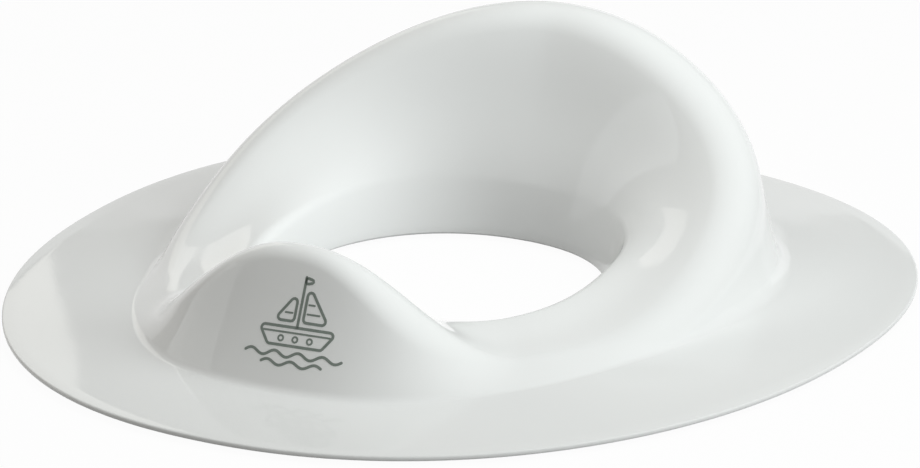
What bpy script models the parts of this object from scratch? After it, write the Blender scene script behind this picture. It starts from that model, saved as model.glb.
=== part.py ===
# Toilet seat reducer for a child: a one-piece moulded shell with a raised hood at
# the back, a splash guard at the front and a flat flange all round, which stands
# on four rubber grips pressed into moulded frames under the flange.
#
# Metres, +Z up. The hood is at +Y and the splash guard at -Y. The origin is the
# middle of the flange, on the plane that the grips stand on.

import math

import bpy
import bmesh
from mathutils import Vector

# Rings in plan. Each ring is measured outwards from the one inside it, at the
# side, at the front (the splash guard) and at the back (the hood).
THROAT_HALF_WIDTH = 0.0632
THROAT_FRONT = 0.0796
THROAT_BACK = 0.0574
DRAFT_SIDE = 0.0059
DRAFT_FRONT = 0.0008
DRAFT_BACK = 0.0063
BOWL_SIDE = 0.0370
BOWL_FRONT = 0.0346
BOWL_BACK = 0.0323
WALL_SIDE = 0.0130
WALL_FRONT = 0.0293
WALL_BACK = 0.0486
FLANGE_SIDE = 0.0536
FLANGE_FRONT = 0.0457
FLANGE_BACK = 0.0454

# How square each ring is (2 is an ellipse), how much squareness the crest and the
# foot gain towards the hood (less than zero makes a ring narrow there), and how much
# wider each ring grows towards the hood, as a share of its width.
THROAT_SQUARENESS = 2.15
MOUTH_SQUARENESS = 2.40
CREST_SQUARENESS = 2.33
CREST_SQUARENESS_GAIN = -0.57
FOOT_SQUARENESS = 2.11
FOOT_SQUARENESS_GAIN = -0.29
FLANGE_SQUARENESS = 2.15
CREST_FLARE_SHARE = 0.252
FOOT_FLARE_SHARE = 0.150
FLANGE_FLARE_SHARE = 0.086

# Heights above the flange's outer edge.
HOOD_HEIGHT = 0.0898
THIGH_HEIGHT = 0.0084
GUARD_HEIGHT = 0.0478
MOUTH_HEIGHT_BACK = 0.0218
MOUTH_HEIGHT_FRONT = 0.0109
FOOT_HEIGHT = 0.0020
THROAT_DROP = 0.0014
FLANGE_LIFT = 0.0036

# The hood and the guard swell out of the low thigh rests over these angles, and
# a fullness over 1 keeps the swell broad before it falls away.
HOOD_REACH = math.radians(123.1)
HOOD_FULLNESS = 1.09
GUARD_REACH = math.radians(49.5)
GUARD_FULLNESS = 1.21

# Radii on the outer face, with the gain of the roll on the guard's two shoulders, the
# wall that the whole shell keeps, and the least stretch over which a bend is eased.
HOOD_ROLL = 0.0137
THIGH_ROLL = 0.0130
GUARD_ROLL = 0.0082
SHOULDER_ROLL_GAIN = 0.0055
MOUTH_FILLET = 0.0050
HOOD_FOOT_FILLET = 0.0090
THIGH_FOOT_FILLET = 0.0045
WALL = 0.0020
EDGE_ROUND = 0.0006
BOWL_HOLLOW_SHARE = 0.018
FILLET_LIMIT_SHARE = 0.45
EASE_REACH = 0.0015

# Rubber grips under the flange and the moulded frames that hold them.
GRIP_WIDTH = 0.0120
GRIP_LENGTH = 0.0620
GRIP_ANGLE_FRONT = math.radians(136)
GRIP_ANGLE_BACK = math.radians(46)
GRIP_PLACE_SHARE = 0.50
GRIP_CHAMFER = 0.0006
GROOVE_WIDTH = 0.0011
GROOVE_DEPTH = 0.0007
FRAME_WALL = 0.0014
FRAME_DEPTH = 0.0012
FRAME_SINK = 0.0009
CLEARANCE = 0.0003

# Facets: sections round the ring, and spans of each stretch of a section.
SECTIONS = 88
THROAT_SPANS = 3
MOUTH_SPANS = 3
BOWL_SPANS = 7
ROLL_SPANS = 8
WALL_SPANS = 3
FOOT_SPANS = 3
FLANGE_SPANS = 3
GRIP_STEPS = 14


# Laws of the form

def grown(inner, side, front, back, squareness, gain=0.0, flare_share=0.0):
    """A ring that lies outside another by the given reaches, as ring_point reads it."""
    return inner[0] + side, inner[1] + front, inner[2] + back, squareness, gain, flare_share


THROAT = THROAT_HALF_WIDTH, THROAT_FRONT, THROAT_BACK, THROAT_SQUARENESS, 0.0, 0.0
MOUTH = grown(THROAT, DRAFT_SIDE, DRAFT_FRONT, DRAFT_BACK, MOUTH_SQUARENESS)
CREST = grown(
    MOUTH, BOWL_SIDE, BOWL_FRONT, BOWL_BACK, CREST_SQUARENESS, CREST_SQUARENESS_GAIN, CREST_FLARE_SHARE
)
FOOT = grown(
    CREST, WALL_SIDE, WALL_FRONT, WALL_BACK, FOOT_SQUARENESS, FOOT_SQUARENESS_GAIN, FOOT_FLARE_SHARE
)
FLANGE = grown(
    FOOT, FLANGE_SIDE, FLANGE_FRONT, FLANGE_BACK, FLANGE_SQUARENESS, 0.0, FLANGE_FLARE_SHARE
)


def ring_point(ring_sizes, angle):
    """Plan point of a ring. The angle is 0 at the back and half a turn at the front."""
    half_width, front, back, squareness, gain, flare_share = ring_sizes
    across = math.sin(angle)
    along = math.cos(angle)
    power = squareness + gain * along
    radius = (abs(across) ** power + abs(along) ** power) ** (-1 / power)
    x = half_width * across * radius * (1 + flare_share * along)
    y = (back + front) / 2 * along * radius + (back - front) / 2
    return Vector((x, y))


def swell(angle, reach, fullness):
    """1 at the middle of a swell, falling smoothly to 0 at its reach."""
    part = min(abs(angle) / reach, 1.0)
    return math.cos(math.pi / 2 * part ** fullness) ** 2


def guard_swell(angle):
    """1 at the middle of the guard, 0 at the thigh rests and the hood."""
    return swell(math.pi - abs(math.remainder(angle, math.tau)), GUARD_REACH, GUARD_FULLNESS)


def blend(angle, hood, thigh, guard):
    """A size that has one value at the hood, one at the thigh rests and one at the guard."""
    hood_part = swell(math.remainder(angle, math.tau), HOOD_REACH, HOOD_FULLNESS)
    return thigh + (hood - thigh) * hood_part + (guard - thigh) * guard_swell(angle)


def mouth_height(y):
    """The throat's upper rim lies on a plane that rises towards the hood."""
    rise_share = (y + MOUTH[1]) / (MOUTH[1] + MOUTH[2])
    return MOUTH_HEIGHT_FRONT + (MOUTH_HEIGHT_BACK - MOUTH_HEIGHT_FRONT) * rise_share


def tangent_angle(point, centre, radius, side):
    """Direction from a circle's centre to where a line from the point touches it."""
    away = point - centre
    return math.atan2(away.y, away.x) + side * math.acos(min(radius / away.length, 1.0))


def rounded(before, corner, after, radius, spans):
    """Points of the arc that rounds a corner in space, kept within its two sides."""
    back = (before - corner).normalized()
    on = (after - corner).normalized()
    half = back.angle(on) / 2
    shortest = min((before - corner).length, (after - corner).length)
    reach = min(max(radius / math.tan(half), EASE_REACH), shortest * FILLET_LIMIT_SHARE)
    start = corner + back * reach
    end = corner + on * reach
    centre = corner + (back + on).normalized() * (reach / math.cos(half))
    sweep = math.pi - 2 * half
    points = []
    for step in range(spans + 1):
        part = step / spans
        from_start = math.sin((1 - part) * sweep) / math.sin(sweep)
        from_end = math.sin(part * sweep) / math.sin(sweep)
        points.append(centre + (start - centre) * from_start + (end - centre) * from_end)
    return points


def straight(start, end, spans):
    """Points between two ends, both left out."""
    return [start.lerp(end, step / spans) for step in range(1, spans)]


def section(angle):
    """The shell's outer skin in one section, from the throat's lower edge to the flange's edge."""
    throat = ring_point(THROAT, angle)
    mouth = ring_point(MOUTH, angle)
    crest = ring_point(CREST, angle)
    foot = ring_point(FOOT, angle)
    edge = ring_point(FLANGE, angle)
    outwards = (foot - mouth).normalized()

    def place(distance, height):
        return Vector((*(mouth + outwards * distance), height + FLANGE_LIFT))

    roll = blend(angle, HOOD_ROLL, THIGH_ROLL, GUARD_ROLL)
    roll += SHOULDER_ROLL_GAIN * math.sin(math.pi * guard_swell(angle))
    height = blend(angle, HOOD_HEIGHT, THIGH_HEIGHT, GUARD_HEIGHT)
    centre = Vector(((crest - mouth).dot(outwards), height - roll))
    mouth_flat = Vector((0.0, mouth_height(mouth.y)))
    foot_flat = Vector(((foot - mouth).length, FOOT_HEIGHT))
    inner = tangent_angle(mouth_flat, centre, roll, -1) % math.tau
    outer = tangent_angle(foot_flat, centre, roll, 1)

    bottom = Vector((*throat, FLANGE_LIFT - THROAT_DROP))
    mouth_corner = place(*mouth_flat)
    foot_corner = place(*foot_flat)
    rim = Vector((*edge, FLANGE_LIFT))
    roll_points = []
    for step in range(ROLL_SPANS + 1):
        turn = inner + (outer - inner) * step / ROLL_SPANS
        roll_points.append(place(centre.x + roll * math.cos(turn), centre.y + roll * math.sin(turn)))

    mouth_arc = rounded(bottom, mouth_corner, roll_points[0], MOUTH_FILLET, MOUTH_SPANS)
    foot_fillet = blend(angle, HOOD_FOOT_FILLET, THIGH_FOOT_FILLET, THIGH_FOOT_FILLET)
    foot_arc = rounded(roll_points[-1], foot_corner, rim, foot_fillet, FOOT_SPANS)

    bowl = straight(mouth_arc[-1], roll_points[0], BOWL_SPANS)
    run = roll_points[0] - mouth_arc[-1]
    hollow = Vector((outwards.x, outwards.y, 0.0)) * run.z - Vector((0.0, 0.0, run.xy.dot(outwards)))
    for step, point in enumerate(bowl, start=1):
        point += hollow * BOWL_HOLLOW_SHARE * math.sin(math.pi * step / BOWL_SPANS) ** 2

    points = [bottom]
    points += straight(bottom, mouth_arc[0], THROAT_SPANS)
    points += mouth_arc
    points += bowl
    points += roll_points
    points += straight(roll_points[-1], foot_arc[0], WALL_SPANS)
    points += foot_arc
    points += straight(foot_arc[-1], rim, FLANGE_SPANS)
    points.append(rim)
    return points


# Materials and meshes

def material(name, colour, roughness, metallic=0.0):
    """A plain principled material."""
    made = bpy.data.materials.new(name)
    made.use_nodes = True
    shader = made.node_tree.nodes["Principled BSDF"]
    shader.inputs["Base Color"].default_value = (*colour, 1.0)
    shader.inputs["Roughness"].default_value = roughness
    shader.inputs["Metallic"].default_value = metallic
    made.diffuse_color = (*colour, 1.0)
    return made


def put(name, mesh_data, finish):
    """Link an object that carries a bmesh, with its own material."""
    mesh = bpy.data.meshes.new(name)
    mesh_data.to_mesh(mesh)
    mesh_data.free()
    mesh.shade_smooth()
    mesh.set_sharp_from_angle(angle=math.radians(35))
    made = bpy.data.objects.new(name, mesh)
    made.data.materials.append(finish)
    bpy.context.scene.collection.objects.link(made)
    return made


def ring_of_sections(sections, closed):
    """A skin through sections of equal point counts, as quads with their normals up."""
    data = bmesh.new()
    rows = [[data.verts.new(point) for point in points] for points in sections]
    pairs = list(zip(rows, rows[1:]))
    if closed:
        pairs.append((rows[-1], rows[0]))
    for row, following in pairs:
        for here in range(len(row) - 1):
            data.faces.new((row[here], row[here + 1], following[here + 1], following[here]))
    return data


def swept_solid(sections):
    """A closed solid through closed outlines, with its two ends capped."""
    data = bmesh.new()
    rows = [[data.verts.new(point) for point in points] for points in sections]
    count = len(rows[0])
    for row, following in zip(rows, rows[1:]):
        for here in range(count):
            after = (here + 1) % count
            data.faces.new((row[here], row[after], following[after], following[here]))
    data.faces.new(list(reversed(rows[0])))
    data.faces.new(rows[-1])
    bmesh.ops.recalc_face_normals(data, faces=data.faces)
    bmesh.ops.triangulate(data, faces=data.faces)
    return data


# The shell

def build_shell(finish):
    """The moulded skin, given its wall downwards, with its two rims eased."""
    angles = [math.tau * step / SECTIONS for step in range(SECTIONS)]
    skin = ring_of_sections([section(angle) for angle in angles], closed=True)
    bmesh.ops.recalc_face_normals(skin, faces=skin.faces)
    if sum(face.normal.z * face.calc_area() for face in skin.faces) < 0:
        bmesh.ops.reverse_faces(skin, faces=skin.faces)
    shell = put("seat_shell", skin, finish)
    wall = shell.modifiers.new("wall", "SOLIDIFY")
    wall.thickness = WALL
    wall.offset = -1
    wall.use_even_offset = True
    wall.use_quality_normals = True
    easing = shell.modifiers.new("eased rims", "BEVEL")
    easing.width = EDGE_ROUND
    easing.segments = 1
    easing.limit_method = "ANGLE"
    easing.angle_limit = math.radians(62)
    easing.use_clamp_overlap = True
    shell.modifiers.new("flat facets", "TRIANGULATE")
    return shell


# Grips and their frames

def underside(angle):
    """Plan point, outward direction, height and fall of the flange's underside under a grip."""
    foot = ring_point(FOOT, angle)
    edge = ring_point(FLANGE, angle)
    band = edge - foot
    fall = FOOT_HEIGHT / band.length
    height = FLANGE_LIFT + FOOT_HEIGHT * (1 - GRIP_PLACE_SHARE) - WALL * math.sqrt(1 + fall ** 2)
    return foot.lerp(edge, GRIP_PLACE_SHARE), height, fall


def grip_path(middle):
    """Stations along one grip: plan point, outward direction, height and fall of the underside."""
    point = underside(middle)[0]
    nudge = math.radians(1)
    speed = (underside(middle + nudge)[0] - point).length / nudge
    spread = GRIP_LENGTH / 2 / speed
    stations = []
    for step in range(GRIP_STEPS + 1):
        angle = middle + spread * (2 * step / GRIP_STEPS - 1)
        here, height, fall = underside(angle)
        ahead = (underside(angle + nudge)[0] - underside(angle - nudge)[0]).normalized()
        outwards = Vector((-ahead.y, ahead.x))
        if outwards.dot(here) < 0:
            outwards = -outwards
        stations.append((here, outwards, height, fall, ahead))
    return stations


def swept_outline(stations, outline, overhang):
    """Sweep an outline, given as points outwards and heights, along the stations of a grip."""
    rows = []
    for number, (here, outwards, height, fall, ahead) in enumerate(stations):
        shift = {0: -overhang, len(stations) - 1: overhang}.get(number, 0.0)
        base = here + ahead * shift
        rows.append([Vector((*(base + outwards * out), level(height - fall * out)))
                     for out, level in outline])
    return rows


def grip_outline():
    """Flat sole with two grooves, chamfered edges, and a top that follows the sloping flange."""
    half = GRIP_WIDTH / 2
    land = GRIP_WIDTH / 6

    def at(height):
        return lambda top: height

    def under(gap):
        return lambda top: top - gap

    points = [(-half, under(CLEARANCE)), (-half, at(GRIP_CHAMFER)), (-half + GRIP_CHAMFER, at(0.0))]
    for middle in (-land, land):
        points.append((middle - GROOVE_WIDTH / 2, at(0.0)))
        points.append((middle - GROOVE_WIDTH / 2, at(GROOVE_DEPTH)))
        points.append((middle + GROOVE_WIDTH / 2, at(GROOVE_DEPTH)))
        points.append((middle + GROOVE_WIDTH / 2, at(0.0)))
    points += [(half - GRIP_CHAMFER, at(0.0)), (half, at(GRIP_CHAMFER)), (half, under(CLEARANCE))]
    return points


def build_grip(name, middle, finish):
    """One rubber grip, standing on the ground plane and just clear of its frame."""
    return put(name, swept_solid(swept_outline(grip_path(middle), grip_outline(), 0.0)), finish)


def frame_loop(stations, half, overhang):
    """Closed plan loop round a grip, as plan points with the underside's height at each."""
    last = len(stations) - 1
    outer_side = []
    inner_side = []
    for number, (here, outwards, height, fall, ahead) in enumerate(stations):
        shift = {0: -overhang, last: overhang}.get(number, 0.0)
        base = here + ahead * shift
        outer_side.append((base + outwards * half, height - fall * half))
        inner_side.append((base - outwards * half, height + fall * half))
    return outer_side + list(reversed(inner_side))


def build_frame(name, middle, finish):
    """One moulded frame: a low wall that runs round the grip, rooted in the flange."""
    stations = grip_path(middle)
    half = GRIP_WIDTH / 2 + CLEARANCE
    inside = frame_loop(stations, half, CLEARANCE)
    outside = frame_loop(stations, half + FRAME_WALL, CLEARANCE + FRAME_WALL)
    data = bmesh.new()
    rows = []
    for loop, lift in ((outside, FRAME_SINK), (outside, -FRAME_DEPTH), (inside, -FRAME_DEPTH), (inside, FRAME_SINK)):
        rows.append([data.verts.new((*point, top + lift)) for point, top in loop])
    count = len(inside)
    for row, following in zip(rows, rows[1:] + rows[:1]):
        for here in range(count):
            after = (here + 1) % count
            data.faces.new((row[here], row[after], following[after], following[here]))
    bmesh.ops.recalc_face_normals(data, faces=data.faces)
    bmesh.ops.triangulate(data, faces=data.faces)
    return put(name, data, finish)


def join(target, tool):
    """Fuse a guide object, which isn't itself part of the build, into a target."""
    tool.hide_render = True
    tool.display_type = "WIRE"
    step = target.modifiers.new("join " + tool.name, "BOOLEAN")
    step.operation = "UNION"
    step.solver = "EXACT"
    step.object = tool


def main():
    for old in list(bpy.data.objects):
        bpy.data.objects.remove(old, do_unlink=True)

    gloss_white = material("gloss_white_polypropylene", (0.86, 0.87, 0.86), 0.18)
    grey_rubber = material("grey_grip_rubber", (0.36, 0.37, 0.37), 0.75)
    shell = build_shell(gloss_white)
    places = {
        "grip_front_left": -GRIP_ANGLE_FRONT,
        "grip_front_right": GRIP_ANGLE_FRONT,
        "grip_back_left": -GRIP_ANGLE_BACK,
        "grip_back_right": GRIP_ANGLE_BACK,
    }
    for name, middle in places.items():
        build_grip(name, middle, grey_rubber)
        join(shell, build_frame(name.replace("grip", "frame"), middle, gloss_white))


main()
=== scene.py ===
import math

import bmesh
import bpy
from mathutils import Matrix, Vector


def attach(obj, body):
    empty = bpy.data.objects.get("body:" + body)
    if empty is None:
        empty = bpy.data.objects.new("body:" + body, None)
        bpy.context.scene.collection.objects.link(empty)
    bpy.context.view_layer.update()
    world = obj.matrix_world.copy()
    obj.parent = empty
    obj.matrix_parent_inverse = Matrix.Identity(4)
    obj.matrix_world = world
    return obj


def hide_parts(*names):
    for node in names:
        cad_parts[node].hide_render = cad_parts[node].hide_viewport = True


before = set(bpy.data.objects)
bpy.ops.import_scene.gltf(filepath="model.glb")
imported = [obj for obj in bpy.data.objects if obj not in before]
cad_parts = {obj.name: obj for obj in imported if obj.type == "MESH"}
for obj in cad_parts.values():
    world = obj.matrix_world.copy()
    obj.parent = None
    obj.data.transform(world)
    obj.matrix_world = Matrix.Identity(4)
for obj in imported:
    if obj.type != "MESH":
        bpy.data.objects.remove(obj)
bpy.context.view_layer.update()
print("frame loaded with", len(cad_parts), "nodes")


# small helpers that every piece uses

weldDistance = 0.000002  # corners closer than this become one
startRadius = 0.1  # of the first circle, whose corners are all moved
tinyLength = 0.0000001  # keeps a run of no length from dividing by zero


def nothingSelected():
    if bpy.context.object and bpy.context.object.mode != "OBJECT":
        bpy.ops.object.mode_set(mode="OBJECT")
    bpy.ops.object.select_all(action="DESELECT")


def editing(piece):
    nothingSelected()
    bpy.context.view_layer.objects.active = piece
    piece.select_set(True)
    bpy.ops.object.mode_set(mode="EDIT")
    bpy.ops.mesh.select_mode(type="VERT")


def applyModifier(piece, kind, **settings):
    nothingSelected()
    bpy.context.view_layer.objects.active = piece
    piece.select_set(True)
    step = piece.modifiers.new(kind.lower(), kind)
    for key, value in settings.items():
        setattr(step, key, value)
    bpy.ops.object.modifier_apply(modifier=step.name)


def settle(piece):
    # place and turn go into the mesh, so that the object itself sits at the origin
    nothingSelected()
    bpy.context.view_layer.objects.active = piece
    piece.select_set(True)
    bpy.ops.object.transform_apply(location=True, rotation=True, scale=True)


def smoothByAngle(piece, angle):
    nothingSelected()
    bpy.context.view_layer.objects.active = piece
    piece.select_set(True)
    bpy.ops.object.shade_smooth_by_angle(angle=angle)


def normalsOut(piece):
    editing(piece)
    bpy.ops.mesh.select_all(action="SELECT")
    bpy.ops.mesh.remove_doubles(threshold=weldDistance)
    bpy.ops.mesh.normals_make_consistent(inside=False)
    bpy.ops.object.mode_set(mode="OBJECT")


def ringOfPoints(name, points):
    # a circle primitive whose corners are moved to the points, each corner numbered
    nothingSelected()
    bpy.ops.mesh.primitive_circle_add(vertices=len(points), radius=startRadius, fill_type="NOTHING")
    piece = bpy.context.object
    piece.name = name
    editing(piece)
    mesh = bmesh.from_edit_mesh(piece.data)
    number = mesh.verts.layers.int.new("number")
    mesh.verts.ensure_lookup_table()
    for index, corner in enumerate(mesh.verts):
        corner[number] = index
        corner.co = points[index]
    bmesh.update_edit_mesh(piece.data)
    bpy.ops.mesh.select_all(action="SELECT")
    return piece


def extrudeRingTo(piece, points):
    # the selected ring of edges is extruded, and each new corner goes to its own point
    bpy.ops.mesh.extrude_edges_move(TRANSFORM_OT_translate={"value": (0, 0, 0)})
    mesh = bmesh.from_edit_mesh(piece.data)
    number = mesh.verts.layers.int["number"]
    for corner in mesh.verts:
        if corner.select:
            corner.co = points[corner[number]]
    bmesh.update_edit_mesh(piece.data)


# the form of the shell: five plan rings, from the throat out to the flange's edge
# each ring has its half width, its reach to the front and to the back, how square it is (2 is an ellipse),
# how that changes towards the back, and how much wider it grows there

shellForm = {
    "throat": {"side": 0.0632, "front": 0.0796, "back": 0.0574, "square": 2.15, "gain": 0.0, "flare": 0.0},
    "mouth": {"side": 0.0691, "front": 0.0804, "back": 0.0620, "square": 2.40, "gain": 0.0, "flare": 0.0},
    "crest": {"side": 0.1061, "front": 0.1150, "back": 0.0960, "square": 2.33, "gain": -0.57, "flare": 0.252},
    "foot": {"side": 0.1191, "front": 0.1443, "back": 0.1446, "square": 2.11, "gain": -0.29, "flare": 0.150},
    "flange": {"side": 0.1727, "front": 0.1900, "back": 0.1900, "square": 2.15, "gain": 0.0, "flare": 0.086},
    "hoodHeight": 0.0898,
    "thighHeight": 0.0084,
    "guardHeight": 0.0478,
    "mouthBack": 0.0216,
    "mouthFront": 0.0109,
    "footHeight": 0.0020,
    "throatDrop": 0.0014,
    "flangeLift": 0.0036,
    "hoodReach": math.radians(123.1),
    "hoodFullness": 1.09,
    "guardReach": math.radians(49.5),
    "guardFullness": 1.21,
    "hoodRoll": 0.0137,
    "thighRoll": 0.0130,
    "guardRoll": 0.0082,
    "shoulderRollGain": 0.0055,
    "mouthFillet": 0.0050,
    "mouthBackFillet": 0.0120,
    "hoodFootFillet": 0.0090,
    "thighFootFillet": 0.0045,
    "filletLimit": 0.45,
    "easeReach": 0.0015,
    "bowlHollow": 0.020,
    "wall": 0.0020,
    "rimRound": 0.0008,
    "rimSegments": 4,
    "rimAngle": math.radians(62),
    "smoothAngle": math.radians(35),
    "turns": 248,
    "throatSteps": 5,
    "mouthSteps": 8,
    "bowlSteps": 14,
    "rollSteps": 18,
    "wallSteps": 8,
    "footSteps": 8,
    "flangeSteps": 7,
}


def planPoint(ringName, turn):
    ring = shellForm[ringName]
    across = math.sin(turn)
    along = math.cos(turn)
    power = ring["square"] + ring["gain"] * along
    radius = (abs(across) ** power + abs(along) ** power) ** (-1 / power)
    x = ring["side"] * across * radius * (1 + ring["flare"] * along)
    y = (ring["back"] + ring["front"]) / 2 * along * radius + (ring["back"] - ring["front"]) / 2
    return Vector((x, y))


def swell(turn, reach, fullness):
    # one in the middle of a swelling, falling softly to nothing at its reach
    part = min(abs(turn) / reach, 1.0)
    return math.cos(math.pi / 2 * part ** fullness) ** 2


def guardSwell(turn):
    fromFront = math.pi - abs(math.remainder(turn, math.tau))
    return swell(fromFront, shellForm["guardReach"], shellForm["guardFullness"])


def blended(turn, hood, thigh, guard):
    # the hood's value at the back, the guard's at the front and the thigh rests' between them
    hoodPart = swell(math.remainder(turn, math.tau), shellForm["hoodReach"], shellForm["hoodFullness"])
    return thigh + (hood - thigh) * hoodPart + (guard - thigh) * guardSwell(turn)


def between(start, end, steps):
    return [start.lerp(end, step / steps) for step in range(1, steps)]


def roundedCorner(before, corner, after, radius, steps, easeReach=0.0):
    # an arc in place of the corner, no longer than the two straights beside it allow
    back = (before - corner).normalized()
    on = (after - corner).normalized()
    half = back.angle(on) / 2
    shortest = min((before - corner).length, (after - corner).length)
    reach = min(max(radius / math.tan(half), easeReach), shortest * shellForm["filletLimit"])
    start = corner + back * reach
    end = corner + on * reach
    centre = corner + (back + on).normalized() * (reach / math.cos(half))
    sweep = math.pi - 2 * half
    arc = []
    for step in range(steps + 1):
        part = step / steps
        fromStart = math.sin((1 - part) * sweep) / math.sin(sweep)
        fromEnd = math.sin(part * sweep) / math.sin(sweep)
        arc.append(centre + (start - centre) * fromStart + (end - centre) * fromEnd)
    return arc


def shellSection(turn):
    # the outer skin at one turn, from the throat's lower rim out to the flange's rim
    form = shellForm
    throat, mouth, crest, foot, edge = (
        planPoint(name, turn) for name in ("throat", "mouth", "crest", "foot", "flange")
    )
    outwards = (foot - mouth).normalized()
    lift = form["flangeLift"]

    def place(distance, height):
        return Vector((*(mouth + outwards * distance), height + lift))

    roll = blended(turn, form["hoodRoll"], form["thighRoll"], form["guardRoll"])
    roll += form["shoulderRollGain"] * math.sin(math.pi * guardSwell(turn))
    height = blended(turn, form["hoodHeight"], form["thighHeight"], form["guardHeight"])
    rise = (mouth.y + form["mouth"]["front"]) / (form["mouth"]["front"] + form["mouth"]["back"])
    mouthHeight = form["mouthFront"] + (form["mouthBack"] - form["mouthFront"]) * rise
    centre = Vector(((crest - mouth).dot(outwards), height - roll))
    mouthFlat = Vector((0.0, mouthHeight))
    footFlat = Vector(((foot - mouth).length, form["footHeight"]))

    def touch(point, side):
        # the angle at which a straight from the point touches the roll
        away = point - centre
        return math.atan2(away.y, away.x) + side * math.acos(min(roll / away.length, 1.0))

    inner = touch(mouthFlat, -1) % math.tau
    outer = touch(footFlat, 1)
    bottom = Vector((*throat, lift - form["throatDrop"]))
    mouthCorner = place(*mouthFlat)
    footCorner = place(*footFlat)
    rim = Vector((*edge, lift))
    over = []
    for step in range(form["rollSteps"] + 1):
        around = inner + (outer - inner) * step / form["rollSteps"]
        over.append(place(centre.x + roll * math.cos(around), centre.y + roll * math.sin(around)))

    mouthFillet = blended(turn, form["mouthBackFillet"], form["mouthFillet"], form["mouthFillet"])
    mouthArc = roundedCorner(bottom, mouthCorner, over[0], mouthFillet, form["mouthSteps"], form["easeReach"])
    footFillet = blended(turn, form["hoodFootFillet"], form["thighFootFillet"], form["thighFootFillet"])
    footArc = roundedCorner(over[-1], footCorner, rim, footFillet, form["footSteps"])
    bowl = between(mouthArc[-1], over[0], form["bowlSteps"])
    run = over[0] - mouthArc[-1]
    hollow = Vector((outwards.x, outwards.y, 0.0)) * run.z - Vector((0.0, 0.0, run.xy.dot(outwards)))
    for step, point in enumerate(bowl, start=1):
        point += hollow * form["bowlHollow"] * math.sin(math.pi * step / form["bowlSteps"]) ** 2

    points = [bottom, *between(bottom, mouthArc[0], form["throatSteps"]), *mouthArc, *bowl, *over]
    points += [*between(over[-1], footArc[0], form["wallSteps"]), *footArc]
    points += [*between(footArc[-1], rim, form["flangeSteps"]), rim]
    return points


def makeShell():
    turns = [math.tau * step / shellForm["turns"] for step in range(shellForm["turns"])]
    sections = [shellSection(turn) for turn in turns]
    rows = list(zip(*sections))
    shell = ringOfPoints("seatShellFine", rows[0])
    for row in rows[1:]:
        extrudeRingTo(shell, row)
    bpy.ops.mesh.select_all(action="SELECT")
    bpy.ops.mesh.normals_make_consistent(inside=False)
    bpy.ops.object.mode_set(mode="OBJECT")
    # the skin's faces look up, so that the wall grows downwards from them
    upward = sum(face.normal.z * face.area for face in shell.data.polygons)
    if upward < 0:
        editing(shell)
        bpy.ops.mesh.select_all(action="SELECT")
        bpy.ops.mesh.flip_normals()
        bpy.ops.object.mode_set(mode="OBJECT")
    applyModifier(shell, "SOLIDIFY", thickness=shellForm["wall"], offset=-1, use_even_offset=True,
                  use_quality_normals=True)
    applyModifier(shell, "BEVEL", width=shellForm["rimRound"], segments=shellForm["rimSegments"],
                  limit_method="ANGLE", angle_limit=shellForm["rimAngle"])
    return shell


seatShell = makeShell()
print("shell formed with", len(seatShell.data.polygons), "faces")


# rubber grips and the moulded frames round them, under the flange
# band says where they lie, from the walls' foot at 0 to the flange's edge at 1

gripForm = {
    "width": 0.0120,
    "length": 0.0620,
    "places": {
        "grip_front_left": -math.radians(136),
        "grip_front_right": math.radians(136),
        "grip_back_left": -math.radians(46),
        "grip_back_right": math.radians(46),
    },
    "band": 0.50,
    "steps": 40,
    "chamfer": 0.0006,
    "groovePlaces": (-0.0020, 0.0020),
    "grooveWidth": 0.0011,
    "grooveDepth": 0.0007,
    "frameWall": 0.0014,
    "frameDepth": 0.0012,
    "frameSink": 0.0009,
    "clearance": 0.0003,
    "nudge": math.radians(1),
    "edgeSegments": 2,
    "edgeRound": 0.00022,
    "edgeAngle": math.radians(30),
    "frameRound": 0.00030,
    "frameAngle": math.radians(50),
    "smoothAngle": math.radians(40),
}


def underside(turn):
    # the middle of the band, the height of the flange's lower face there, and how fast it falls outwards
    foot = planPoint("foot", turn)
    edge = planPoint("flange", turn)
    fall = shellForm["footHeight"] / (edge - foot).length
    height = shellForm["flangeLift"] + shellForm["footHeight"] * (1 - gripForm["band"])
    height -= shellForm["wall"] * math.sqrt(1 + fall ** 2)
    return foot.lerp(edge, gripForm["band"]), height, fall


def gripPath(middle):
    # stations along the grip, each with its place, the way outwards, height, fall and the way ahead
    nudge = gripForm["nudge"]
    speed = (underside(middle + nudge)[0] - underside(middle)[0]).length / nudge
    spread = gripForm["length"] / 2 / speed
    stations = []
    for step in range(gripForm["steps"] + 1):
        turn = middle + spread * (2 * step / gripForm["steps"] - 1)
        here, height, fall = underside(turn)
        ahead = (underside(turn + nudge)[0] - underside(turn - nudge)[0]).normalized()
        outwards = Vector((-ahead.y, ahead.x))
        if outwards.dot(here) < 0:
            outwards = -outwards
        stations.append((here, outwards, height, fall, ahead))
    return stations


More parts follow.
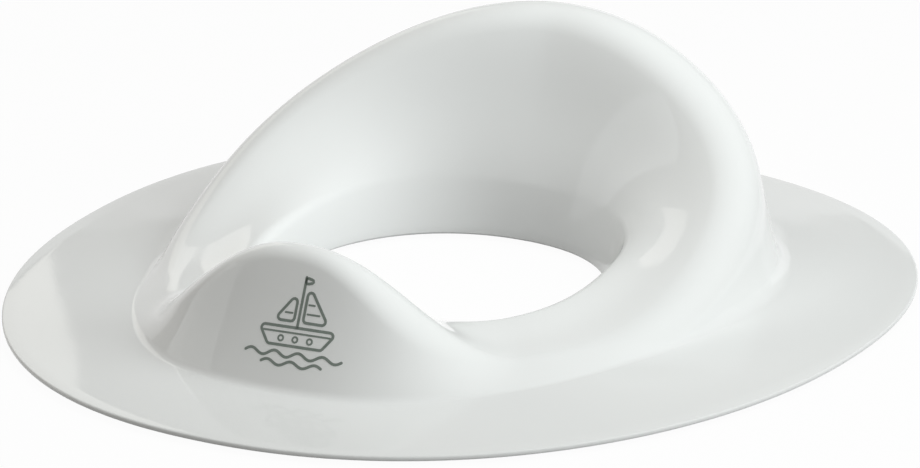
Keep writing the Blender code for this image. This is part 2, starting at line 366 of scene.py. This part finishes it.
def makeGrip(name, middle):
    half = gripForm["width"] / 2
    chamfer = gripForm["chamfer"]
    # places across the grip and their heights, where None is the top, right under the flange
    outline = [(-half, None), (-half, chamfer), (-half + chamfer, 0.0)]
    for groove in gripForm["groovePlaces"]:
        for side in (-1, 1):
            wallAt = groove + side * gripForm["grooveWidth"] / 2
            pair = [(wallAt, 0.0), (wallAt, gripForm["grooveDepth"])]
            outline += pair if side < 0 else pair[::-1]
    outline += [(half - chamfer, 0.0), (half, chamfer), (half, None)]
    rows = []
    for here, outwards, height, fall, ahead in gripPath(middle):
        row = []
        for out, level in outline:
            top = height - fall * out - gripForm["clearance"]
            row.append(Vector((*(here + outwards * out), top if level is None else level)))
        rows.append(row)
    grip = ringOfPoints(name + "Rubber", rows[0])
    bpy.ops.mesh.edge_face_add()
    bpy.ops.mesh.select_mode(type="EDGE")
    for row in rows[1:]:
        extrudeRingTo(grip, row)
    bpy.ops.mesh.select_mode(type="VERT")
    bpy.ops.mesh.edge_face_add()
    normalsOut(grip)
    applyModifier(grip, "BEVEL", width=gripForm["edgeRound"], segments=gripForm["edgeSegments"],
                  limit_method="ANGLE", angle_limit=gripForm["edgeAngle"])
    smoothByAngle(grip, gripForm["smoothAngle"])
    return grip


def frameLoop(stations, half, overhang):
    # once round the grip, half a width away from its path and longer than it by the overhang
    last = len(stations) - 1
    outer, inner = [], []
    for number, (here, outwards, height, fall, ahead) in enumerate(stations):
        shift = {0: -overhang, last: overhang}.get(number, 0.0)
        base = here + ahead * shift
        outer.append((base + outwards * half, height - fall * half))
        inner.append((base - outwards * half, height + fall * half))
    return outer + inner[::-1]


def makeGripFrame(name, middle):
    stations = gripPath(middle)
    half = gripForm["width"] / 2 + gripForm["clearance"]
    inside = frameLoop(stations, half, gripForm["clearance"])
    outside = frameLoop(stations, half + gripForm["frameWall"], gripForm["clearance"] + gripForm["frameWall"])

    def row(loop, lift):
        return [Vector((*point, top + lift)) for point, top in loop]

    gripFrame = ringOfPoints(name + "Frame", row(outside, gripForm["frameSink"]))
    extrudeRingTo(gripFrame, row(outside, -gripForm["frameDepth"]))
    extrudeRingTo(gripFrame, row(inside, -gripForm["frameDepth"]))
    extrudeRingTo(gripFrame, row(inside, gripForm["frameSink"]))
    extrudeRingTo(gripFrame, row(outside, gripForm["frameSink"]))
    normalsOut(gripFrame)
    applyModifier(gripFrame, "BEVEL", width=gripForm["frameRound"], segments=gripForm["edgeSegments"],
                  limit_method="ANGLE", angle_limit=gripForm["frameAngle"])
    return gripFrame


grips = {}
for gripName, middle in gripForm["places"].items():
    grips[gripName] = makeGrip(gripName, middle)
    gripFrame = makeGripFrame(gripName, middle)
    applyModifier(seatShell, "BOOLEAN", operation="UNION", solver="EXACT", object=gripFrame)
    bpy.data.objects.remove(gripFrame, do_unlink=True)
smoothByAngle(seatShell, shellForm["smoothAngle"])
print("grips and their frames done, shell now has", len(seatShell.data.polygons), "faces")


# printed emblem on the splash guard: a small sailing boat over two waves, drawn as thin ink

emblemForm = {
    "place": (0.0092, -0.1393, 0.0326),
    "outwards": (0.08, -0.91, 0.40),
    "stroke": 0.00105,
    "thinStroke": 0.00070,
    "spacing": 0.0007,
    "capSteps": 5,
    "inkLift": 0.00003,
    "inkFilm": 0.00005,
    "cornerRadius": 0.0013,
    "cornerSteps": 8,
    "waveSteps": 96,
    "outlines": {
        "hull": [(-0.0156, -0.0030), (0.0156, -0.0030), (0.0108, -0.0098), (-0.0108, -0.0098)],
        "mainSail": [(0.0018, -0.0008), (0.0118, -0.0008), (0.0018, 0.0130)],
        "foreSail": [(-0.0018, -0.0008), (-0.0018, 0.0102), (-0.0098, -0.0008)],
        "pennant": [(0.0, 0.0156), (0.0048, 0.0143), (0.0, 0.0130)],
    },
    "lines": {
        "mast": [(0.0, -0.0030), (0.0, 0.0156)],
    },
    "thinLines": {
        "rail": [(-0.0133, -0.0050), (0.0133, -0.0050)],
        "mainBatten": [(0.0030, 0.0024), (0.0078, 0.0024)],
        "upperBatten": [(0.0030, 0.0058), (0.0052, 0.0058)],
        "foreBatten": [(-0.0058, 0.0022), (-0.0030, 0.0022)],
    },
    "portholes": {"places": [-0.0058, 0.0, 0.0058], "level": -0.0073, "radius": 0.0010, "steps": 24},
    "waves": [
        {"from": -0.0192, "to": 0.0192, "level": -0.0130, "height": 0.0010, "length": 0.0096},
        {"from": -0.0120, "to": 0.0120, "level": -0.0163, "height": 0.0009, "length": 0.0096},
    ],
}


def evenly(points, closed):
    # the same path with corners at an even spacing, so that it can follow the curved guard
    if closed:
        points = points + points[:1]
    runs = [(end - start).length for start, end in zip(points, points[1:])]
    count = max(round(sum(runs) / emblemForm["spacing"]), 2)
    stations = []
    passed, index = 0.0, 0
    for step in range(count + 1):
        goal = sum(runs) * step / count
        while index < len(runs) - 1 and passed + runs[index] < goal:
            passed += runs[index]
            index += 1
        part = min((goal - passed) / max(runs[index], tinyLength), 1.0)
        stations.append(points[index].lerp(points[index + 1], part))
    return stations


def roundedOutline(corners):
    flat = [Vector((*corner, 0)) for corner in corners]
    points = []
    for index, corner in enumerate(flat):
        after = flat[(index + 1) % len(flat)]
        points += roundedCorner(flat[index - 1], corner, after, emblemForm["cornerRadius"],
                                emblemForm["cornerSteps"])
    return evenly(points, True)


def porthole(across):
    hole = emblemForm["portholes"]
    middle = Vector((across, hole["level"], 0))
    turns = [math.tau * step / hole["steps"] for step in range(hole["steps"])]
    ring = [middle + Vector((math.cos(turn), math.sin(turn), 0)) * hole["radius"] for turn in turns]
    return ring + ring[:1]


def wavePath(wave):
    points = []
    steps = emblemForm["waveSteps"]
    for step in range(steps + 1):
        x = wave["from"] + (wave["to"] - wave["from"]) * step / steps
        turn = math.tau * (x - wave["from"]) / wave["length"]
        points.append(Vector((x, wave["level"] + wave["height"] * math.sin(turn), 0)))
    return evenly(points, False)


def withRoundEnds(path, half):
    # more stations close to both ends, each with its share of the stroke's width
    steps = emblemForm["capSteps"]
    first = (path[1] - path[0]).normalized()
    last = (path[-2] - path[-1]).normalized()
    cap = [(half * (1 - math.cos(math.pi / 2 * step / steps)), math.sin(math.pi / 2 * step / steps))
           for step in range(steps)]
    start = [(path[0] + first * (away - half), share) for away, share in cap]
    end = [(path[-1] + last * (away - half), share) for away, share in reversed(cap)]
    return start + [(point, 1.0) for point in path] + end


def makeStroke(name, stations, half, closed):
    # a flat grid laid along the stations: its middle row is the path, its outer rows are the edges
    nothingSelected()
    spans = len(stations) - 1
    bpy.ops.mesh.primitive_grid_add(x_subdivisions=spans, y_subdivisions=2, size=1.0)
    stroke = bpy.context.object
    stroke.name = name
    editing(stroke)
    mesh = bmesh.from_edit_mesh(stroke.data)
    for corner in mesh.verts:
        index = round((corner.co.x + 0.5) * spans)
        side = round(corner.co.y * 2)
        before = (index - 1) % spans if closed else max(index - 1, 0)
        after = (index + 1) % spans if closed else min(index + 1, spans)
        point, share = stations[index]
        ahead = (stations[after][0] - stations[before][0]).normalized()
        corner.co = point + Vector((-ahead.y, ahead.x, 0)) * side * half * share
    bmesh.update_edit_mesh(stroke.data)
    bpy.ops.mesh.select_all(action="SELECT")
    bpy.ops.mesh.remove_doubles(threshold=weldDistance)
    bpy.ops.object.mode_set(mode="OBJECT")
    return stroke


def closedStroke(name, points, half):
    return makeStroke(name, [(point, 1.0) for point in points], half, True)


def openStroke(name, points, half):
    return makeStroke(name, withRoundEnds(points, half), half, False)


def makeEmblem():
    half = emblemForm["stroke"] / 2
    thin = emblemForm["thinStroke"] / 2
    outlines = emblemForm["outlines"].items()
    strokes = [closedStroke(name, roundedOutline(corners), half) for name, corners in outlines]
    for width, group in ((half, "lines"), (thin, "thinLines")):
        for name, ends in emblemForm[group].items():
            path = evenly([Vector((*end, 0)) for end in ends], False)
            strokes.append(openStroke(name, path, width))
    for across in emblemForm["portholes"]["places"]:
        strokes.append(closedStroke("porthole", porthole(across), thin))
    for wave in emblemForm["waves"]:
        strokes.append(openStroke("wave", wavePath(wave), half))
    nothingSelected()
    for stroke in strokes:
        stroke.select_set(True)
    bpy.context.view_layer.objects.active = strokes[0]
    bpy.ops.object.join()
    emblem = bpy.context.object
    emblem.name = "guardEmblem"
    outwards = Vector(emblemForm["outwards"]).normalized()
    across = Vector((0, 0, 1)).cross(outwards).normalized()
    upward = outwards.cross(across)
    stand = Matrix((across, upward, outwards)).transposed().to_4x4()
    stand.translation = Vector(emblemForm["place"])
    emblem.matrix_world = stand
    bpy.context.view_layer.update()
    applyModifier(emblem, "SHRINKWRAP", target=seatShell, wrap_method="PROJECT", use_project_z=True,
                  use_positive_direction=False, use_negative_direction=True, offset=emblemForm["inkLift"])
    applyModifier(emblem, "SOLIDIFY", thickness=emblemForm["inkFilm"], offset=1)
    settle(emblem)
    return emblem


emblem = makeEmblem()
print("emblem drawn with", len(emblem.data.polygons), "faces")


# materials: node groups that several finishes share

def newGroup(name, inputs, outputs):
    made = bpy.data.node_groups.new(name, "ShaderNodeTree")
    for label, kind, value in inputs:
        socket = made.interface.new_socket(name=label, in_out="INPUT", socket_type=kind)
        if value is not None:
            socket.default_value = value
    for label, kind in outputs:
        made.interface.new_socket(name=label, in_out="OUTPUT", socket_type=kind)
    start = made.nodes.new("NodeGroupInput")
    end = made.nodes.new("NodeGroupOutput")
    return made, start, end


def addNode(tree, kind, **settings):
    node = tree.nodes.new(kind)
    for key, value in settings.items():
        setattr(node, key, value)
    return node


def noiseIn(tree, vector, scale, detail=2.0, rough=0.5):
    noise = addNode(tree, "ShaderNodeTexNoise")
    noise.inputs["Detail"].default_value = detail
    noise.inputs["Roughness"].default_value = rough
    tree.links.new(vector, noise.inputs["Vector"])
    if isinstance(scale, (int, float)):
        noise.inputs["Scale"].default_value = scale
    else:
        tree.links.new(scale, noise.inputs["Scale"])
    return noise


groupForm = {
    "broadDetail": 1.0,
    "fineDetail": 3.0,
    "patchDetail": 4.0,
    "patchRough": 0.6,
    "hairScale": (35.0, 900.0, 500.0),
    "hairTurn": (0.0, 0.0, 0.6),
    "hairShare": 0.35,
    "wearSpan": (0.45, 0.85),
    "cloudDetail": 3.0,
    "cloudRough": 0.55,
    "cloudSpan": (0.32, 0.68),
}


def makeRippleGroup():
    # height of a moulded skin: broad waviness plus fine peel
    group, start, end = newGroup(
        "mouldedRipple",
        [("Vector", "NodeSocketVector", None), ("Broad Scale", "NodeSocketFloat", 18.0),
         ("Fine Scale", "NodeSocketFloat", 420.0), ("Fine Share", "NodeSocketFloat", 0.10)],
        [("Height", "NodeSocketFloat")],
    )
    broad = noiseIn(group, start.outputs["Vector"], start.outputs["Broad Scale"], groupForm["broadDetail"])
    fine = noiseIn(group, start.outputs["Vector"], start.outputs["Fine Scale"], groupForm["fineDetail"])
    share = addNode(group, "ShaderNodeMath", operation="MULTIPLY")
    total = addNode(group, "ShaderNodeMath", operation="ADD")
    group.links.new(fine.outputs["Fac"], share.inputs[0])
    group.links.new(start.outputs["Fine Share"], share.inputs[1])
    group.links.new(broad.outputs["Fac"], total.inputs[0])
    group.links.new(share.outputs[0], total.inputs[1])
    group.links.new(total.outputs[0], end.inputs["Height"])
    return group


def makeWearGroup():
    # roughness between two levels: soft patches of handling, plus hairline wipe marks
    group, start, end = newGroup(
        "handlingWear",
        [("Vector", "NodeSocketVector", None), ("Clean", "NodeSocketFloat", 0.10),
         ("Handled", "NodeSocketFloat", 0.16), ("Patch Scale", "NodeSocketFloat", 22.0)],
        [("Roughness", "NodeSocketFloat")],
    )
    patches = noiseIn(group, start.outputs["Vector"], start.outputs["Patch Scale"],
                      groupForm["patchDetail"], groupForm["patchRough"])
    stretch = addNode(group, "ShaderNodeMapping")
    stretch.inputs["Scale"].default_value = groupForm["hairScale"]
    stretch.inputs["Rotation"].default_value = groupForm["hairTurn"]
    group.links.new(start.outputs["Vector"], stretch.inputs["Vector"])
    hairs = noiseIn(group, stretch.outputs["Vector"], 1.0)
    mixed = addNode(group, "ShaderNodeMath", operation="MULTIPLY_ADD")
    mixed.inputs[1].default_value = groupForm["hairShare"]
    level = addNode(group, "ShaderNodeMapRange", interpolation_type="SMOOTHSTEP")
    level.inputs["From Min"].default_value, level.inputs["From Max"].default_value = groupForm["wearSpan"]
    group.links.new(hairs.outputs["Fac"], mixed.inputs[0])
    group.links.new(patches.outputs["Fac"], mixed.inputs[2])
    group.links.new(mixed.outputs[0], level.inputs["Value"])
    group.links.new(start.outputs["Clean"], level.inputs["To Min"])
    group.links.new(start.outputs["Handled"], level.inputs["To Max"])
    group.links.new(level.outputs["Result"], end.inputs["Roughness"])
    return group


def makeToneGroup():
    # two close tones of one colour, spread in soft clouds
    group, start, end = newGroup(
        "cloudedTone",
        [("Vector", "NodeSocketVector", None), ("Light Tone", "NodeSocketColor", None),
         ("Dark Tone", "NodeSocketColor", None), ("Scale", "NodeSocketFloat", 14.0)],
        [("Color", "NodeSocketColor")],
    )
    clouds = noiseIn(group, start.outputs["Vector"], start.outputs["Scale"],
                     groupForm["cloudDetail"], groupForm["cloudRough"])
    level = addNode(group, "ShaderNodeMapRange")
    level.inputs["From Min"].default_value, level.inputs["From Max"].default_value = groupForm["cloudSpan"]
    mixed = addNode(group, "ShaderNodeMix", data_type="RGBA")
    group.links.new(clouds.outputs["Fac"], level.inputs["Value"])
    group.links.new(level.outputs["Result"], mixed.inputs["Factor"])
    group.links.new(start.outputs["Light Tone"], mixed.inputs["A"])
    group.links.new(start.outputs["Dark Tone"], mixed.inputs["B"])
    group.links.new(mixed.outputs["Result"], end.inputs["Color"])
    return group


rippleGroup = makeRippleGroup()
wearGroup = makeWearGroup()
toneGroup = makeToneGroup()


def useGroup(tree, group, vector, **values):
    node = addNode(tree, "ShaderNodeGroup", node_tree=group)
    tree.links.new(vector, node.inputs["Vector"])
    for label, value in values.items():
        node.inputs[label.replace("_", " ")].default_value = value
    return node


def makeFinish(name, look):
    made = bpy.data.materials.new(name)
    made.use_nodes = True
    tree = made.node_tree
    shader = tree.nodes["Principled BSDF"]
    shader.inputs["IOR"].default_value = look["ior"]
    place = addNode(tree, "ShaderNodeTexCoord").outputs["Object"]
    tone = useGroup(tree, toneGroup, place, Light_Tone=(*look["light"], 1), Dark_Tone=(*look["dark"], 1),
                    Scale=look["toneScale"])
    wear = useGroup(tree, wearGroup, place, Clean=look["clean"], Handled=look["handled"],
                    Patch_Scale=look["patchScale"])
    ripple = useGroup(tree, rippleGroup, place, Broad_Scale=look["broadScale"], Fine_Scale=look["fineScale"],
                      Fine_Share=look["fineShare"])
    bump = addNode(tree, "ShaderNodeBump")
    bump.inputs["Strength"].default_value = look["bumpStrength"]
    bump.inputs["Distance"].default_value = look["bumpDistance"]
    tree.links.new(tone.outputs["Color"], shader.inputs["Base Color"])
    tree.links.new(wear.outputs["Roughness"], shader.inputs["Roughness"])
    tree.links.new(ripple.outputs["Height"], bump.inputs["Height"])
    tree.links.new(bump.outputs["Normal"], shader.inputs["Normal"])
    return made


def dress(piece, material):
    piece.data.materials.clear()
    piece.data.materials.append(material)


plasticLook = {
    "light": (0.900, 0.905, 0.900), "dark": (0.890, 0.895, 0.890), "toneScale": 14.0, "ior": 1.49,
    "clean": 0.040, "handled": 0.065, "patchScale": 22.0,
    "broadScale": 18.0, "fineScale": 420.0, "fineShare": 0.04, "bumpStrength": 0.25, "bumpDistance": 0.0008,
}
rubberLook = {
    "light": (0.150, 0.155, 0.155), "dark": (0.105, 0.110, 0.110), "toneScale": 900.0, "ior": 1.50,
    "clean": 0.62, "handled": 0.80, "patchScale": 120.0,
    "broadScale": 90.0, "fineScale": 1600.0, "fineShare": 0.6, "bumpStrength": 0.4, "bumpDistance": 0.0002,
}
inkLook = {
    "light": (0.235, 0.270, 0.245), "dark": (0.190, 0.225, 0.200), "toneScale": 260.0, "ior": 1.45,
    "clean": 0.38, "handled": 0.55, "patchScale": 140.0,
    "broadScale": 60.0, "fineScale": 1400.0, "fineShare": 0.5, "bumpStrength": 0.15, "bumpDistance": 0.0001,
}
dress(seatShell, makeFinish("glossWhitePlastic", plasticLook))
dress(emblem, makeFinish("greyPadInk", inkLook))
gripRubber = makeFinish("greyGripRubber", rubberLook)
for piece in grips.values():
    dress(piece, gripRubber)
print("materials done")


# every piece rides on the one body

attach(seatShell, "root")
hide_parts("seat_shell")
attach(emblem, "root")
for gripName, piece in grips.items():
    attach(piece, "root")
    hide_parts(gripName)


# studio: floor, world, lamps and camera

studio = {
    "cameraTurn": math.radians(28.33),
    "cameraRise": math.radians(19.26),
    "cameraDistance": 1.300,
    "focalPixels": 3280.0,
    "centreX": 451.7,
    "centreY": 277.2,
    "imageWidth": 920,
    "imageHeight": 468,
    "sensor": 36.0,
    "floorSize": 6.0,
    "backWallHeight": 0.86,
    "floorPaint": (0.86, 0.86, 0.86, 1.0),
    "floorBounce": (0.20, 0.20, 0.20, 1.0),
    "floorGlow": 0.96,
    "floorRoughness": 0.9,
    "floorSheen": 0.1,
    "roomStrength": 0.30,
    "roomGloss": 0.46,
    "coolWhite": (0.950, 0.995, 1.000),
    "warmWhite": (1.000, 0.985, 0.935),
    "lampAim": (0.0, 0.0, 0.03),
    "clipStart": 0.05,
    "clipEnd": 50.0,
}

# each softbox: where it stands, its width and height, how bright its face is, its tint,
# and whether it lights the body colour or only shows in the gloss
softboxes = {
    "rightHighBox": {
        "place": (1.9, 0.3, 1.4), "size": (1.4, 1.4), "face": 2.15,
        "tint": "coolWhite", "lights": "body",
    },
    "rightLowBox": {
        "place": (2.4, 0.0, 0.72), "size": (1.4, 1.1), "face": 2.50,
        "tint": "coolWhite", "lights": "body",
    },
    "rightFrontBox": {
        "place": (2.1, -1.2, 0.75), "size": (1.2, 1.1), "face": 1.60,
        "tint": "coolWhite", "lights": "body",
    },
    "leftLowBox": {
        "place": (-2.4, 0.0, 0.72), "size": (1.4, 1.1), "face": 2.30,
        "tint": "warmWhite", "lights": "body",
    },
    "overheadRightBox": {
        "place": (0.22, 0.0, 0.50), "size": (0.3, 0.3), "face": 2.05,
        "tint": "coolWhite", "lights": "body",
    },
    "overheadBox": {
        "place": (0.02, -0.02, 0.25), "size": (0.12, 0.12), "face": 2.36,
        "tint": "coolWhite", "lights": "body",
    },
    "leftBackBox": {
        "place": (-2.625, 1.993, 1.55), "size": (1.5, 1.3), "face": 0.76,
        "tint": "warmWhite", "lights": "gloss",
        "aim": (-2.150, 1.113, 1.55),
    },
    "leftSideBox": {
        "place": (-2.26, -0.82, 0.72), "size": (1.42, 1.1), "face": 0.70,
        "tint": "coolWhite", "lights": "gloss",
    },
}


def litAsWhite(tree, glossShare):
    # one for what the camera sees, straight or through glass, and a share of it for reflections
    path = addNode(tree, "ShaderNodeLightPath")
    through = addNode(tree, "ShaderNodeMath", operation="MAXIMUM")
    gloss = addNode(tree, "ShaderNodeMath", operation="MULTIPLY")
    gloss.inputs[1].default_value = glossShare
    seen = addNode(tree, "ShaderNodeMath", operation="MAXIMUM")
    tree.links.new(path.outputs["Is Camera Ray"], through.inputs[0])
    tree.links.new(path.outputs["Is Transmission Ray"], through.inputs[1])
    tree.links.new(path.outputs["Is Glossy Ray"], gloss.inputs[0])
    tree.links.new(through.outputs[0], seen.inputs[0])
    tree.links.new(gloss.outputs[0], seen.inputs[1])
    return seen.outputs[0]


def makeFloor():
    # a sweep: the floor, turned to the camera, and a low wall behind it
    nothingSelected()
    bpy.ops.mesh.primitive_plane_add(size=studio["floorSize"], location=(0, 0, 0))
    floor = bpy.context.object
    floor.name = "studioFloor"
    editing(floor)
    bpy.ops.mesh.select_all(action="DESELECT")
    mesh = bmesh.from_edit_mesh(floor.data)
    for corner in mesh.verts:
        corner.select = corner.co.y > 0
    mesh.select_flush(True)
    bmesh.update_edit_mesh(floor.data)
    bpy.ops.mesh.select_mode(type="EDGE")
    bpy.ops.mesh.extrude_region_move(TRANSFORM_OT_translate={"value": (0, 0, studio["backWallHeight"])})
    bpy.ops.object.mode_set(mode="OBJECT")
    floor.rotation_euler = (0, 0, studio["cameraTurn"])
    settle(floor)

    # the camera and reflections see it nearly white, other light meets a darker one
    paint = bpy.data.materials.new("paleFloor")
    paint.use_nodes = True
    tree = paint.node_tree
    bounce = tree.nodes["Principled BSDF"]
    pale = addNode(tree, "ShaderNodeBsdfPrincipled")
    for shader, colour in ((bounce, "floorBounce"), (pale, "floorPaint")):
        shader.inputs["Base Color"].default_value = studio[colour]
        shader.inputs["Roughness"].default_value = studio["floorRoughness"]
        shader.inputs["Specular IOR Level"].default_value = studio["floorSheen"]
    glow = addNode(tree, "ShaderNodeEmission")
    glow.inputs["Color"].default_value = (1, 1, 1, 1)
    white = addNode(tree, "ShaderNodeMixShader")
    white.inputs[0].default_value = studio["floorGlow"]
    mixed = addNode(tree, "ShaderNodeMixShader")
    tree.links.new(pale.outputs[0], white.inputs[1])
    tree.links.new(glow.outputs[0], white.inputs[2])
    tree.links.new(litAsWhite(tree, 1.0), mixed.inputs[0])
    tree.links.new(bounce.outputs[0], mixed.inputs[1])
    tree.links.new(white.outputs[0], mixed.inputs[2])
    tree.links.new(mixed.outputs[0], tree.nodes["Material Output"].inputs["Surface"])
    floor.data.materials.append(paint)


def makeWorld():
    world = bpy.data.worlds.new("studioWorld")
    bpy.context.scene.world = world
    world.use_nodes = True
    tree = world.node_tree
    tree.nodes.clear()
    output = addNode(tree, "ShaderNodeOutputWorld")
    white = addNode(tree, "ShaderNodeBackground")
    white.inputs["Color"].default_value = (1, 1, 1, 1)
    white.inputs["Strength"].default_value = 1.0
    room = addNode(tree, "ShaderNodeBackground")
    room.inputs["Color"].default_value = (*studio["warmWhite"], 1)
    room.inputs["Strength"].default_value = studio["roomStrength"]
    mixed = addNode(tree, "ShaderNodeMixShader")
    tree.links.new(litAsWhite(tree, studio["roomGloss"]), mixed.inputs[0])
    tree.links.new(room.outputs[0], mixed.inputs[1])
    tree.links.new(white.outputs[0], mixed.inputs[2])
    tree.links.new(mixed.outputs[0], output.inputs["Surface"])


def makeSoftbox(name, box):
    data = bpy.data.lights.new(name, "AREA")
    data.shape = "RECTANGLE"
    data.size, data.size_y = box["size"]
    data.energy = box["face"] * math.pi * data.size * data.size_y
    data.color = studio[box["tint"]]
    lamp = bpy.data.objects.new(name, data)
    bpy.context.scene.collection.objects.link(lamp)
    lamp.location = box["place"]
    aim = Vector(box.get("aim", studio["lampAim"]))
    lamp.rotation_euler = (aim - lamp.location).to_track_quat("-Z", "Y").to_euler()
    lamp.visible_camera = False
    lamp.visible_diffuse = box["lights"] == "body"
    lamp.visible_glossy = box["lights"] == "gloss"


def makeCamera():
    data = bpy.data.cameras.new("photoCamera")
    camera = bpy.data.objects.new("photoCamera", data)
    bpy.context.scene.collection.objects.link(camera)
    turn, rise = studio["cameraTurn"], studio["cameraRise"]
    back = Vector((math.sin(turn) * math.cos(rise), -math.cos(turn) * math.cos(rise), math.sin(rise)))
    right = Vector((math.cos(turn), math.sin(turn), 0))
    up = back.cross(right)
    stand = Matrix((right, up, back)).transposed().to_4x4()
    stand.translation = Vector((0, 0, shellForm["flangeLift"])) + back * studio["cameraDistance"]
    camera.matrix_world = stand
    data.sensor_width = studio["sensor"]
    data.lens = studio["focalPixels"] / studio["imageWidth"] * studio["sensor"]
    data.shift_x = (studio["imageWidth"] / 2 - studio["centreX"]) / studio["imageWidth"]
    data.shift_y = (studio["centreY"] - studio["imageHeight"] / 2) / studio["imageWidth"]
    data.clip_start = studio["clipStart"]
    data.clip_end = studio["clipEnd"]
    bpy.context.scene.camera = camera


makeFloor()
makeWorld()
for name, box in softboxes.items():
    makeSoftbox(name, box)
makeCamera()
bpy.context.scene.view_settings.view_transform = "Standard"
print("studio done")
